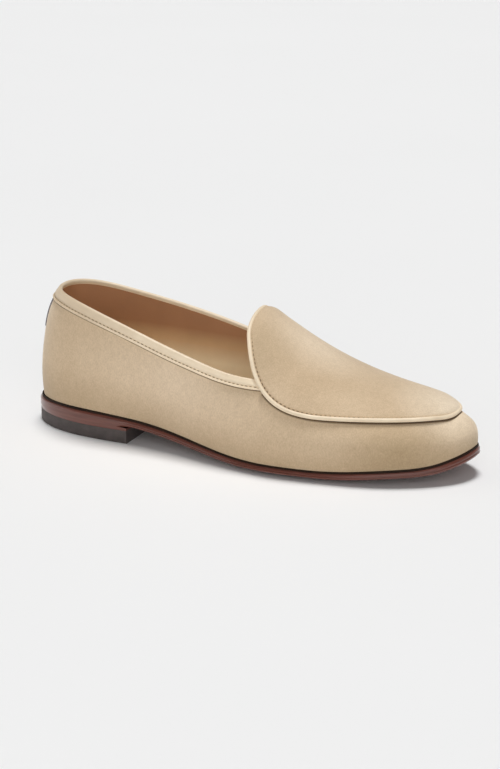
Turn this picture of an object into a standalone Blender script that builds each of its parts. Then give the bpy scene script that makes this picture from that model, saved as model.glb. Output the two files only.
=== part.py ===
"""A right suede loafer: a hollow lasted upper with a piped apron and a bound collar, on a leather sole.

Metres. +X runs to the toe, -Y to the outer side of the foot and +Z up. The shoe stands on z = 0, and the
shapes are worked out from the back of the heel at x = 0. The parent empty moves them over the origin.
"""

import bmesh
import bpy
import numpy as np

# Driving sizes
LENGTH = 0.293  # outsole, back of the heel to the tip of the toe
GAP = 0.0003  # clearance wherever two pieces meet
WALL = 0.0018  # suede and lining together
SOLE = 0.0050  # thickness of the outsole
WELT = 0.0010
WELT_WIDTH = 0.0032
WELT_INSET = 0.0002
UPPER_INSET = 0.0016  # from the sole's edge to the foot of the upper
HEEL_LENGTH = 0.0755
HEEL_RUBBER = 0.0084  # thickness of the layer on the floor
HEEL_INSET = 0.0003
INSOLE_INSET = 0.0049  # clear of the upper's wall, which leans in at the heel
INSOLE_RISE = 0.0025  # top of the insole above the foot of the upper
INSOLE_TOE_INSET = 0.0060  # more room for the upper where the toe closes over
INSOLE_TOE_START = 0.90
INSOLE_ROUND = 0.0010
APRON = 0.0015  # thickness of the apron
APRON_REAR = 0.5255  # share of the length at the end of the tongue
APRON_FRONT = 0.971
APRON_MIDDLE = 0.720
PIPING_RADIUS = 0.0013
THROAT_ALONG = 0.35  # part of the apron's edge that runs down the throat
THROAT_START = 0.580  # share of the length where the collar goes under the apron
THROAT_END = 0.605  # and where the two sides of the upper join on the ridge
BINDING = 0.0009  # thickness of the folded strip
BINDING_GAP = 0.0004  # clearance inside the fold
BINDING_OUTSIDE = 0.0054  # depth of its outer leg
BINDING_INSIDE = 0.0022
TAB_HALF_WIDTH = 0.075  # of the tab on the back seam, as a turn round the heel
TAB_BOTTOM = 0.062
TAB_TOP = 0.0815
TAB = 0.0010
BACK_LEAN_END = 0.45  # share of the length where the heel's back curve has faded
TOE_LEAN_START = 0.90  # and where the toe's curve begins

# Outline of the sole: half widths to the outer and inner side along the length
OUTLINE = [
    ("share", "lateral", "medial"),
    (0.000, -0.0040, 0.0040),
    (0.050, 0.0185, 0.0260),
    (0.120, 0.0268, 0.0320),
    (0.200, 0.0295, 0.0330),
    (0.300, 0.0308, 0.0318),
    (0.400, 0.0358, 0.0300),
    (0.500, 0.0432, 0.0318),
    (0.600, 0.0475, 0.0392),
    (0.690, 0.0460, 0.0462),
    (0.760, 0.0433, 0.0475),
    (0.840, 0.0375, 0.0430),
    (0.910, 0.0275, 0.0345),
    (0.965, 0.0150, 0.0248),
    (1.000, -0.0080, 0.0080),
]

# Height of the sole's underside: heel seat, arch, ball and toe spring. Below zero it is cut flat on the floor
UNDERSIDE = [
    ("share", "height"),
    (0.00, 0.0105),
    (0.10, 0.0116),
    (0.20, 0.0113),
    (0.30, 0.0092),
    (0.40, 0.0056),
    (0.50, 0.0018),
    (0.60, -0.0002),
    (0.68, -0.0002),
    (0.76, 0.0014),
    (0.86, 0.0042),
    (0.94, 0.0068),
    (1.00, 0.0130),
]

# Sections of the last: rise from the welt to the widest line, swell there, then the ridge and the roundness
SECTIONS = [
    ("share", "rise", "swell", "ridge_height", "ridge_side", "power"),
    (0.000, 0.018, 0.0015, 0.1650, 0.0040, 2.3),
    (0.120, 0.018, 0.0020, 0.1565, 0.0030, 2.3),
    (0.250, 0.018, 0.0025, 0.1420, 0.0025, 2.3),
    (0.380, 0.017, 0.0025, 0.1180, 0.0030, 2.2),
    (0.460, 0.016, 0.0022, 0.1000, 0.0040, 2.1),
    (0.540, 0.015, 0.0020, 0.0864, 0.0050, 2.1),
    (0.620, 0.014, 0.0018, 0.0718, 0.0060, 2.1),
    (0.700, 0.013, 0.0015, 0.0598, 0.0068, 2.1),
    (0.780, 0.012, 0.0013, 0.0520, 0.0075, 2.1),
    (0.860, 0.011, 0.0012, 0.0476, 0.0080, 2.1),
    (0.930, 0.010, 0.0010, 0.0433, 0.0080, 2.1),
    (0.965, 0.009, 0.0008, 0.0394, 0.0080, 2.1),
    (1.000, 0.008, 0.0005, 0.0350, 0.0080, 2.1),
]

# Height of the upper's edge at the collar
COLLAR = [
    ("share", "lateral", "medial"),
    (0.00, 0.0880, 0.0880),
    (0.06, 0.0870, 0.0855),
    (0.14, 0.0835, 0.0820),
    (0.24, 0.0760, 0.0780),
    (0.34, 0.0675, 0.0740),
    (0.42, 0.0618, 0.0700),
    (0.48, 0.0582, 0.0657),
    (0.53, 0.0565, 0.0618),
    (0.62, 0.0560, 0.0570),
]

# Curve of the heel's back: how far it leans forward at each height
BACK_CURVE = [
    ("height", "forward"),
    (0.010, 0.0015),
    (0.024, 0.0003),
    (0.040, 0.0004),
    (0.060, 0.0031),
    (0.075, 0.0069),
    (0.082, 0.0102),
    (0.088, 0.0136),
    (0.120, 0.0230),
    (0.170, 0.0330),
]

# Curve of the toe: how far it leans back at each height above the foot of the upper
TOE_CURVE = [
    ("height", "back"),
    (0.0000, 0.0000),
    (0.0040, 0.0000),
    (0.0090, 0.0008),
    (0.0140, 0.0035),
    (0.0180, 0.0072),
    (0.0230, 0.0130),
    (0.0280, 0.0200),
]

# Reach of the apron down from the ridge, from the end of its tongue to its tip
APRON_EDGE = [
    ("along", "reach"),
    (0.00, 0.000),
    (0.05, 0.250),
    (0.10, 0.365),
    (0.20, 0.560),
    (0.30, 0.677),
    (0.38, 0.690),
    (0.50, 0.628),
    (0.60, 0.567),
    (0.72, 0.488),
    (0.81, 0.397),
    (0.87, 0.325),
    (0.955, 0.145),
    (1.00, 0.000),
]

# Rounded edge of the outsole, from its underside up
SOLE_EDGE = [
    ("inset", "height"),
    (0.0012, 0.0000),
    (0.0003, 0.0007),
    (0.0000, 0.0018),
    (0.0000, 0.0034),
    (0.0003, 0.0044),
    (0.0010, 0.0050),
]

# Colour and roughness of each material
FINISHES = {
    "suede": ((0.55, 0.41, 0.27), 0.95),
    "trim_leather": ((0.80, 0.66, 0.48), 0.55),
    "dark_tape": ((0.10, 0.09, 0.10), 0.80),
    "welt_leather": ((0.035, 0.018, 0.014), 0.50),
    "sole_leather": ((0.17, 0.052, 0.034), 0.35),
    "heel_rubber": ((0.05, 0.048, 0.048), 0.75),
    "sock_leather": ((0.42, 0.23, 0.13), 0.60),
}

# Fineness of the meshes
TURNS = 34  # columns along each side of the sole
COLLAR_TURNS = 20  # columns along each side of the upper, up to the throat, over it and in front of it
THROAT_TURNS = 4
VAMP_TURNS = 22
LOW_ROWS = 2  # rows of the upper below and above its widest line
HIGH_ROWS = 11
HEEL_TURNS = 12
APRON_ALONG = 24
APRON_ACROSS = 22
PIPING_POINTS = 68
BORDER_SAMPLES = 600
BINDING_STATIONS = 20  # on each side
ROLL_STEPS = 4
TAB_COLUMNS = 6
TAB_ROWS = 6
MERGE = 1e-6
EDGE_STEP = 1e-5  # for slopes along the sole's outline
SLOPE_STEP = 1e-4  # for slopes on the last

LATERAL = -1
MEDIAL = 1
SIDE_NAMES = {LATERAL: "lateral", MEDIAL: "medial"}


# Smooth curves through the tables


def smooth(xs, ys):
    """The natural cubic curve through the points, as a function of arrays."""
    count = len(xs)
    step = np.diff(xs)
    rise = np.diff(ys) / step
    matrix = np.eye(count)
    right = np.zeros(count)
    for i in range(1, count - 1):
        matrix[i, i - 1 : i + 2] = step[i - 1], 2 * (step[i - 1] + step[i]), step[i]
        right[i] = 6 * (rise[i] - rise[i - 1])
    bend = np.linalg.solve(matrix, right)

    def curve(at):
        at = np.asarray(at, float)
        i = np.clip(np.searchsorted(xs, at) - 1, 0, count - 2)
        past = at - xs[i]
        slope = rise[i] - step[i] * (2 * bend[i] + bend[i + 1]) / 6
        return ys[i] + past * (slope + past * (bend[i] / 2 + past * (bend[i + 1] - bend[i]) / (6 * step[i])))

    return curve


def turn_of(share):
    """Place along the shoe as a turn from 0 to 1, even round the rounded heel and toe."""
    return np.arccos(1 - 2 * np.asarray(share, float)) / np.pi


def share_at(turn):
    return (1 - np.cos(np.pi * np.asarray(turn, float))) / 2


def curves(table, over=np.asarray):
    """One smooth curve for each named column of a table, over its first column."""
    rows = np.array(table[1:], float)
    return {name: smooth(over(rows[:, 0]), rows[:, i]) for i, name in enumerate(table[0]) if i}


outline = curves(OUTLINE, turn_of)
sections = curves(SECTIONS, turn_of)
collar = curves(COLLAR)
underside = curves(UNDERSIDE)["height"]
back_curve = curves(BACK_CURVE)["forward"]
toe_curve = curves(TOE_CURVE)["back"]
apron_reach = curves(APRON_EDGE)["reach"]


# The sole's outline and the last


def unit(vectors):
    return vectors / np.linalg.norm(vectors, axis=-1, keepdims=True)


def sole_height(turn):
    return np.maximum(underside(share_at(turn)), 0)


def sole_edge(turn, side, inset=0.0):
    """Points of the sole's outline in plan, moved in square to the edge."""

    def at(place):
        return np.stack([LENGTH * share_at(place), side * outline[SIDE_NAMES[side]](place)], -1)

    ahead = np.minimum(np.asarray(turn) + EDGE_STEP, 1)
    behind = np.maximum(np.asarray(turn) - EDGE_STEP, 0)
    along = unit(at(ahead) - at(behind))
    outward = np.stack([-along[..., 1], along[..., 0]], -1) * side
    return at(turn) - outward * np.asarray(inset)[..., None]


def edge_ring_points(turn, side, inset, height):
    plan = sole_edge(turn, side, inset)
    return np.concatenate([plan, np.broadcast_to(height, plan.shape[:-1])[..., None]], -1)


def feather_height(turn):
    """Height of the upper's foot, above the sole and the welt."""
    return sole_height(turn) + SOLE + WELT + 2 * GAP


def last_point(turn, climb, side):
    """Points of the upper's outer face: climb is -1 at its foot, 0 on the widest line and 1 on the ridge."""
    turn, climb = np.broadcast_arrays(np.asarray(turn, float), np.asarray(climb, float))
    section = {name: curve(turn) for name, curve in sections.items()}
    foot = sole_edge(turn, side, UPPER_INSET)
    middle = (foot[..., 0] + sole_edge(turn, -side, UPPER_INSET)[..., 0]) / 2
    foot_height = feather_height(turn)
    wide = foot[..., 1] + side * section["swell"] * np.sqrt(np.abs(np.sin(np.pi * turn)))
    wide_height = foot_height + section["rise"]
    low = np.clip(climb + 1, 0, 1)
    angle = np.clip(climb, 0, 1) * np.pi / 2
    inward = np.abs(np.cos(angle)) ** (2 / section["power"])
    upward = np.abs(np.sin(angle)) ** (2 / section["power"])
    below = climb <= 0
    y_low = foot[..., 1] + (wide - foot[..., 1]) * np.sin(low * np.pi / 2)
    y_high = section["ridge_side"] + (wide - section["ridge_side"]) * inward
    z_low = foot_height + section["rise"] * low
    z_high = wide_height + (section["ridge_height"] - wide_height) * upward
    z = np.where(below, z_low, z_high)
    heel_part = np.clip(1 - share_at(turn) / BACK_LEAN_END, 0, 1) ** 2
    toe_part = np.clip((share_at(turn) - TOE_LEAN_START) / (1 - TOE_LEAN_START), 0, 1) ** 2
    x = middle + (foot[..., 0] - middle) * np.where(below, 1, inward)
    x = x + back_curve(z) * heel_part - toe_curve(z - foot_height) * toe_part
    return np.stack([x, np.where(below, y_low, y_high), z], -1)


def last_normal(turn, climb, side):
    """Outward directions of the upper's outer face."""
    turn, climb = np.broadcast_arrays(np.asarray(turn, float), np.asarray(climb, float))
    ahead = last_point(np.minimum(turn + SLOPE_STEP, 1), climb, side)
    behind = last_point(np.maximum(turn - SLOPE_STEP, 0), climb, side)
    above = last_point(turn, np.minimum(climb + SLOPE_STEP, 1), side)
    below = last_point(turn, np.maximum(climb - SLOPE_STEP, -1), side)
    return -side * unit(np.cross(ahead - behind, above - below))


def climb_at(turn, height):
    """The climb at which a section of the last reaches a height above its widest line."""
    wide_height = feather_height(turn) + sections["rise"](turn)
    part = (height - wide_height) / (sections["ridge_height"](turn) - wide_height)
    return np.arcsin(np.clip(part, 0, 1) ** (sections["power"](turn) / 2)) * 2 / np.pi


def collar_climb(turn, side):
    return climb_at(turn, collar[SIDE_NAMES[side]](share_at(turn)))


def top_climb(turn, side):
    """The upper's top edge: the collar, then the throat rising under the apron to the ridge."""
    part = np.clip((share_at(turn) - THROAT_START) / (THROAT_END - THROAT_START), 0, 1)
    rise = part * part * (3 - 2 * part)
    start = collar_climb(turn, side)
    return start + (1 - start) * rise


# Meshes from rings and grids of points


def ring(turns, point):
    """A loop round the shoe: forward on the outer side, then back on the inner side."""
    return np.concatenate([point(turns, LATERAL), point(turns[::-1], MEDIAL)])


def sole_ring(turns, inset, height):
    """A loop inside the sole's outline, at a height above its underside."""
    return ring(turns, lambda t, side: edge_ring_points(t, side, inset, sole_height(t) + height))


def skin(rings, ends):
    """A mesh through rings from the bottom up, left open, capped, or joined from the last to the first."""
    mesh = bmesh.new()
    rows = [[mesh.verts.new(point) for point in loop] for loop in rings]
    count = len(rows[0])
    pairs = list(zip(rows, rows[1:]))
    if ends == "joined":
        pairs.append((rows[-1], rows[0]))
    for low, high in pairs:
        for i in range(count):
            mesh.faces.new((low[i - 1], low[i], high[i], high[i - 1]))
    if ends == "capped":
        for i in range(count // 2 - 1):
            bottom, top = rows[0], rows[-1]
            mesh.faces.new((bottom[-1 - i], bottom[-2 - i], bottom[i + 1], bottom[i]))
            mesh.faces.new((top[i], top[i + 1], top[-2 - i], top[-1 - i]))
    bmesh.ops.remove_doubles(mesh, verts=mesh.verts, dist=MERGE)
    return mesh


def sheet(grid):
    """A mesh through a grid of points, facing the way that its first index turns into its second."""
    mesh = bmesh.new()
    rows = [[mesh.verts.new(point) for point in row] for row in grid]
    for first, second in zip(rows, rows[1:]):
        for j in range(len(first) - 1):
            mesh.faces.new((first[j], second[j], second[j + 1], first[j + 1]))
    bmesh.ops.remove_doubles(mesh, verts=mesh.verts, dist=MERGE)
    return mesh


def sweep(loops):
    """A solid through a row of closed sections, with a face on each end."""
    mesh = bmesh.new()
    rows = [[mesh.verts.new(point) for point in loop] for loop in loops]
    for first, second in zip(rows, rows[1:]):
        for j in range(len(first)):
            mesh.faces.new((first[j - 1], second[j - 1], second[j], first[j]))
    mesh.faces.new(rows[0])
    mesh.faces.new(rows[-1][::-1])
    bmesh.ops.recalc_face_normals(mesh, faces=mesh.faces)
    return mesh


def finish(name):
    """A plain material with the piece's colour and roughness."""
    color, roughness = FINISHES[name]
    material = bpy.data.materials.new(name)
    material.use_nodes = True
    shader = material.node_tree.nodes["Principled BSDF"]
    shader.inputs["Base Color"].default_value = (*color, 1)
    shader.inputs["Roughness"].default_value = roughness
    shader.inputs["Metallic"].default_value = 0
    return material


def place(name, data, material, parent):
    """An object of the shoe in its material, under the parent empty."""
    data.materials.append(finish(material))
    piece = bpy.data.objects.new(name, data)
    bpy.context.scene.collection.objects.link(piece)
    piece.parent = parent
    return piece


def mesh_object(name, mesh, material, parent):
    data = bpy.data.meshes.new(name)
    mesh.to_mesh(data)
    mesh.free()
    data.shade_smooth()
    return place(name, data, material, parent)


def thicken(piece, thickness, outward):
    wall = piece.modifiers.new("wall", "SOLIDIFY")
    wall.thickness = thickness
    wall.offset = 1 if outward else -1


# The pieces


def outsole(parent):
    turns = np.linspace(0, 1, TURNS + 1)
    rings = [sole_ring(turns, inset, height) for inset, height in SOLE_EDGE[1:]]
    mesh_object("outsole", skin(rings, "capped"), "sole_leather", parent)


def welt(parent):
    turns = np.linspace(0, 1, TURNS + 1)
    inner = WELT_INSET + WELT_WIDTH
    bottom = SOLE + GAP
    top = bottom + WELT
    corners = [(inner, bottom), (WELT_INSET, bottom), (WELT_INSET, top), (inner, top)]
    rings = [sole_ring(turns, inset, height) for inset, height in corners]
    mesh_object("welt", skin(rings, "joined"), "welt_leather", parent)


def heel(parent):
    turns = np.linspace(0, turn_of(HEEL_LENGTH / LENGTH), HEEL_TURNS + 1)
    bevel = 2 * HEEL_INSET

    def level(inset, height):
        return ring(turns, lambda t, side: edge_ring_points(t, side, inset, height))

    lift = [level(HEEL_INSET, HEEL_RUBBER + GAP), sole_ring(turns, HEEL_INSET, -GAP)]
    rubber = [level(HEEL_INSET + bevel, 0), level(HEEL_INSET, bevel), level(HEEL_INSET, HEEL_RUBBER)]
    mesh_object("heel_lift", skin(lift, "capped"), "sole_leather", parent)
    mesh_object("heel_top_piece", skin(rubber, "capped"), "heel_rubber", parent)


def insole(parent):
    turns = np.linspace(0, 1, TURNS + 1)

    def at(more, height):
        toe = np.clip((share_at(turns) - INSOLE_TOE_START) / (1 - INSOLE_TOE_START), 0, 1)
        depths = INSOLE_INSET + more + INSOLE_TOE_INSET * toe * toe * (3 - 2 * toe)
        sides = {LATERAL: depths, MEDIAL: depths[::-1]}
        return ring(turns, lambda t, side: edge_ring_points(t, side, sides[side], height(t)))

    rings = [
        at(0, lambda t: sole_height(t) + SOLE + GAP),
        at(0, lambda t: feather_height(t) + INSOLE_RISE - INSOLE_ROUND),
        at(INSOLE_ROUND, lambda t: feather_height(t) + INSOLE_RISE),
    ]
    mesh_object("insole", skin(rings, "capped"), "sock_leather", parent)


def upper(parent):
    """The hollow wall: rows from the foot to the collar, closed over the ridge in front of the throat."""
    start, end = turn_of(THROAT_START), turn_of(THROAT_END)
    turns = np.concatenate([
        np.linspace(0, start, COLLAR_TURNS, endpoint=False),
        np.linspace(start, end, THROAT_TURNS, endpoint=False),
        np.linspace(end, 1, VAMP_TURNS + 1),
    ])

    low = [
        ring(turns, lambda t, side: last_point(t, -part, side))
        for part in np.linspace(1, 0, LOW_ROWS, endpoint=False)
    ]
    high = [
        ring(turns, lambda t, side: last_point(t, part * top_climb(t, side), side))
        for part in np.linspace(0, 1, HIGH_ROWS + 1)
    ]
    piece = mesh_object("upper", skin(low + high, "open"), "suede", parent)
    thicken(piece, WALL, outward=False)


def apron_place(along, spread):
    """Turn and climb on the last of a point of the apron, spread from 0 at its middle to 1 on its edge."""
    share = APRON_MIDDLE + spread * (APRON_REAR + (APRON_FRONT - APRON_REAR) * share_at(along) - APRON_MIDDLE)
    return turn_of(share), 1 - apron_reach(along) * spread


def apron(parent):
    """A square grid spread out to the apron's round outline, laid on the last."""
    forward = np.linspace(-1, 1, APRON_ALONG + 1)[:, None]
    across = np.linspace(-1, 1, APRON_ACROSS + 1)[None, :]
    u = forward * np.sqrt(1 - across**2 / 2)
    w = across * np.sqrt(1 - forward**2 / 2)
    spot = apron_place(np.arctan2(np.abs(w), -u) / np.pi, np.hypot(u, w))
    faces = {side: last_point(*spot, side) + GAP * last_normal(*spot, side) for side in (LATERAL, MEDIAL)}
    grid = np.where((w > 0)[..., None], faces[MEDIAL], faces[LATERAL])
    piece = mesh_object("apron", sheet(grid), "suede", parent)
    thicken(piece, APRON, outward=True)


def apron_border(lift, margin):
    """A loop along the apron's edge, forward on the outer side, lifted off the last and moved out."""
    along = np.linspace(0, 1, BORDER_SAMPLES + 1)
    spot = apron_place(along, 1)
    path = np.concatenate([last_point(*spot, LATERAL)[:-1], last_point(*spot, MEDIAL)[:0:-1]])
    facing = np.concatenate([last_normal(*spot, LATERAL)[:-1], last_normal(*spot, MEDIAL)[:0:-1]])
    outward = np.cross(np.roll(path, -1, 0) - np.roll(path, 1, 0), facing)
    return path + lift * facing + margin * unit(outward)


def piping(parent):
    """A round cord along the apron's edge, clear of the apron and of the upper."""
    path = apron_border(PIPING_RADIUS + GAP, PIPING_RADIUS + GAP)
    lengths = np.linalg.norm(np.diff(path, axis=0, append=path[:1]), axis=1)
    reached = np.concatenate([[0], np.cumsum(lengths)])
    stations = np.linspace(0, reached[-1], PIPING_POINTS, endpoint=False)
    closed = np.concatenate([path, path[:1]])
    even = np.stack([np.interp(stations, reached, closed[:, axis]) for axis in range(3)], 1)
    cord = bpy.data.curves.new("piping", "CURVE")
    cord.dimensions = "3D"
    cord.bevel_depth = PIPING_RADIUS
    cord.bevel_resolution = 2
    spline = cord.splines.new("POLY")
    spline.points.add(PIPING_POINTS - 1)
    for point, spot in zip(spline.points, even):
        point.co = (*spot, 1)
    spline.use_cyclic_u = True
    place("piping", cord, "trim_leather", parent)


def binding_end(depth, side):
    """Turn at which the binding stops, just behind the piping, at a depth under the collar's edge."""
    border = apron_border(0, 2 * PIPING_RADIUS + 3 * GAP)
    if side == MEDIAL:
        border = np.roll(border[::-1], 1, axis=0)
    throat = border[: round(BORDER_SAMPLES * THROAT_ALONG)]
    share = throat[:, 0] / LENGTH
    return turn_of(np.interp(depth, collar[SIDE_NAMES[side]](share) - throat[:, 2], share))


def binding_section(station):
    """The folded strip's section at a station from -1, its outer end, round the heel to 1, its inner end."""
    side = MEDIAL if station > 0 else LATERAL
    near = WALL / 2 + BINDING_GAP
    far = near + BINDING
    fold_end = binding_end(-far, side)

    def leg(depth, lift, end):
        turn = abs(station) * end
        climb = climb_at(turn, collar[SIDE_NAMES[side]](share_at(turn)) - depth)
        return last_point(turn, climb, side) + lift * last_normal(turn, climb, side)

    def outer_leg(part, lift):
        depth = part * BINDING_OUTSIDE
        return leg(depth, lift, binding_end(depth, side))

    turn = abs(station) * fold_end
    climb = collar_climb(turn, side)
    edge = last_point(turn, climb, side)
    normal = last_normal(turn, climb, side)
    up = unit(edge - last_point(turn, climb - SLOPE_STEP, side))

    def roll(radius, angle):
        return edge + normal * (radius * np.cos(angle) - WALL / 2) + up * radius * np.sin(angle)

    angles = np.linspace(0, np.pi, ROLL_STEPS + 1)
    outer = [outer_leg(part, BINDING_GAP + BINDING) for part in (1, 0.5)]
    over = [roll(far, angle) for angle in angles]
    inner = [leg(BINDING_INSIDE, -WALL - BINDING_GAP - thickness, fold_end) for thickness in (BINDING, 0)]
    under = [roll(near, angle) for angle in angles[::-1]]
    down = [outer_leg(part, BINDING_GAP) for part in (0.5, 1)]
    return outer + over + inner + under + down


def topline_binding(parent):
    loops = [binding_section(station) for station in np.linspace(-1, 1, 2 * BINDING_STATIONS + 1)]
    mesh_object("topline_binding", sweep(loops), "trim_leather", parent)


def back_tab(parent):
    rows = []
    for station in np.linspace(1, -1, TAB_COLUMNS + 1):
        side = MEDIAL if station > 0 else LATERAL
        turn = np.full(TAB_ROWS + 1, abs(station) * TAB_HALF_WIDTH)
        climb = climb_at(turn, np.linspace(TAB_BOTTOM, TAB_TOP, TAB_ROWS + 1))
        rows.append(last_point(turn, climb, side) + GAP * last_normal(turn, climb, side))
    piece = mesh_object("back_tab", sheet(rows), "dark_tape", parent)
    thicken(piece, TAB, outward=True)


def main():
    for thing in list(bpy.data.objects):
        bpy.data.objects.remove(thing)
    shoe = bpy.data.objects.new("loafer", None)
    shoe.location.x = -LENGTH / 2
    bpy.context.scene.collection.objects.link(shoe)
    for make in (outsole, welt, heel, insole, upper, apron, piping, topline_binding, back_tab):
        make(shoe)


main()
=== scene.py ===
"""Looks of a right suede loafer: nap, lining, folded binding, piping, stitches, burnished sole and studio.

Metres. +X runs to the toe, -Y to the outer side of the foot and +Z up. The shapes come from the same tables
as the solids, worked out from the back of the heel at x = 0 and moved over the origin when a mesh is made.
"""

import bmesh
import bpy
import numpy as np
from mathutils import Matrix, Vector


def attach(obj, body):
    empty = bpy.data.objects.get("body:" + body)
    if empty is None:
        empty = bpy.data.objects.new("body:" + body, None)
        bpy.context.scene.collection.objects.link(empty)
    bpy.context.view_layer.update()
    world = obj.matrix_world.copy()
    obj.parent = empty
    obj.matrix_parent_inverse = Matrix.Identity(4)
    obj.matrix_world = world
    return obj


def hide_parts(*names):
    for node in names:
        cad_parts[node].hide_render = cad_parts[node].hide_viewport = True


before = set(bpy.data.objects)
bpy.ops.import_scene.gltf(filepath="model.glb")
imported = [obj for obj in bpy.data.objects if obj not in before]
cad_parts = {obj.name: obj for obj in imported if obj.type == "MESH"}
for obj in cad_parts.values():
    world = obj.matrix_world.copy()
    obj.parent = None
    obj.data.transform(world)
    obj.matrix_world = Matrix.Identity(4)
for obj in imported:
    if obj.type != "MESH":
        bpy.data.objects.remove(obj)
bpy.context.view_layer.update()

# Outer and inner side of the foot, as the sign of y
LATERAL = -1
MEDIAL = 1
SIDE_NAMES = {LATERAL: "lateral", MEDIAL: "medial"}

# Sizes shared with the solids
LENGTH = 0.293  # outsole, back of the heel to the tip of the toe
GAP = 0.0003  # clearance wherever two solids meet
WALL = 0.0018  # suede and lining together
SOLE = 0.0050
WELT = 0.0010
WELT_WIDTH = 0.0032
WELT_INSET = 0.0002
UPPER_INSET = 0.0016  # from the sole's edge to the foot of the upper
HEEL_LENGTH = 0.0755
HEEL_RUBBER = 0.0084
INSOLE_RISE = 0.0025  # top of the insole above the foot of the upper
APRON = 0.0015
APRON_REAR = 0.5255  # share of the length at the end of the tongue
APRON_FRONT = 0.971
APRON_MIDDLE = 0.720
PIPING_RADIUS = 0.0013
THROAT_ALONG = 0.35  # part of the apron's edge that runs down the throat
THROAT_START = 0.580  # share of the length where the collar goes under the apron
THROAT_END = 0.605
TAB_HALF_WIDTH = 0.075  # of the tab on the back seam, as a turn round the heel
TAB_BOTTOM = 0.062
TAB_TOP = 0.0815
BACK_LEAN_END = 0.45
TOE_LEAN_START = 0.90

# Sizes of the finer forms
FOOT_TUCK = 0.0012  # the suede turns in under its foot
LINING_TOP = 0.0004  # the lining ends this far under the collar's edge
LINING_FOOT = (-0.5, -1.0)  # climbs of its rows under the widest line
INSOLE_INSET = 0.0038
INSOLE_START = 0.02  # turns of its rear and front ends
INSOLE_END = 0.98
INSOLE_DISH = 0.0012  # hollow along the middle of the insole
HEEL_FLUSH_START = 0.235  # share of the length where the sole's edge stops being flush with the heel
HEEL_FLUSH_END = 0.275
HEEL_INSET = 0.0003  # of the leather layer's foot
HEEL_BEVEL = 0.0006  # of the rubber
WELT_EDGE = 0.0012  # inset of the welt's outer corners
WELT_BEAD = 0.0009  # inset of its rounded middle
SOLE_TOP_ROUND = 0.0040  # height at which the sole's top edge starts to round
SOLE_LIFT = 0.0016  # the sole bulges, so its rim stands this far off the floor at the ball
SOLE_LIFT_TOP = 0.5  # part of that by which its top edge and the welt rise
SOLE_BULGE = 4  # power of the bulge across the sole
SOLE_TIP = 0.0014  # the sole is this much thicker at the tip of the toe
SOLE_TIP_START = 0.88  # share of the length where it starts to thicken
BINDING_LIFT = 0.0005  # of its fold above the suede
BINDING_RISE = 0.0005  # its fold starts this far above the collar's edge
BINDING_TAPER = 0.22  # part of its depth lost where it goes under the piping
BINDING_TAPER_START = 0.70  # as a part of the way from the heel to the piping
APRON_ROUND = 0.94  # spread at which the apron starts to turn down to its seam
APRON_REACH = 1.022  # spread of its edge, hidden under the piping
APRON_DIP = 0.6  # part of its thickness lost there
APRON_DIP_POWER = 3
TONGUE_CURL = 0.0012  # the end of the tongue bends down
TONGUE_CURL_START = 0.85  # spread at which it starts to bend
TONGUE_TURN = 0.20  # part of the apron's edge that goes round that end
TONGUE_DROP = 0.0013  # the piping sits lower there
TONGUE_PUFF = 0.0012  # the tongue stands out beside its piping
TONGUE_PUFF_PLACE = 0.96  # spread
TONGUE_PUFF_WIDTH = 0.07
TONGUE_PUFF_END = 0.30  # along its edge
TOE_PUFF = 0.0021  # the apron stands out over its seam at the toe
TOE_PUFF_START = 0.70  # along its edge
TOE_DROP = 0.0006  # the piping sits lower round the tip
TOE_TURN = 0.88  # along the apron's edge where it starts to sink there
SHADE_START = 0.258  # part of the apron's edge past which it lies on the suede
TAB_LIFT = 0.0006
TAB_EDGE = 12  # power that keeps the tab flat nearly up to its edge
TAPE_RIBS = 260.0  # scale of the tape's ribs
STITCH_PITCH = 0.0028
STITCH_LENGTH = 0.0018
STITCH_RADIUS = 0.00032
STITCH_ROUND = 4  # power of the rounding of its ends
BINDING_STITCH_DEPTH = 0.0040
BINDING_STITCH_LIFT = 0.0007
APRON_STITCH_INSET = 0.0002
STITCH_SINK = 0.00056  # the apron's thread sinks into the nap this far
STITCH_SINK_START = 0.24  # along the apron's edge
STITCH_SINK_END = 0.50

# Outline of the sole: half widths to the outer and inner side along the length
OUTLINE = [
    ("share", "lateral", "medial"),
    (0.000, -0.0040, 0.0040),
    (0.050, 0.0185, 0.0260),
    (0.120, 0.0268, 0.0320),
    (0.200, 0.0295, 0.0330),
    (0.300, 0.0308, 0.0318),
    (0.400, 0.0358, 0.0300),
    (0.500, 0.0432, 0.0318),
    (0.600, 0.0475, 0.0392),
    (0.690, 0.0460, 0.0462),
    (0.760, 0.0433, 0.0475),
    (0.840, 0.0375, 0.0430),
    (0.910, 0.0275, 0.0345),
    (0.965, 0.0150, 0.0248),
    (1.000, -0.0080, 0.0080),
]

# Height of the sole's underside: heel seat, arch, ball and toe spring
UNDERSIDE = [
    ("share", "height"),
    (0.00, 0.0105),
    (0.10, 0.0116),
    (0.20, 0.0113),
    (0.30, 0.0092),
    (0.40, 0.0056),
    (0.50, 0.0018),
    (0.60, -0.0002),
    (0.68, -0.0002),
    (0.76, 0.0014),
    (0.86, 0.0042),
    (0.94, 0.0068),
    (1.00, 0.0130),
]

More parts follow.
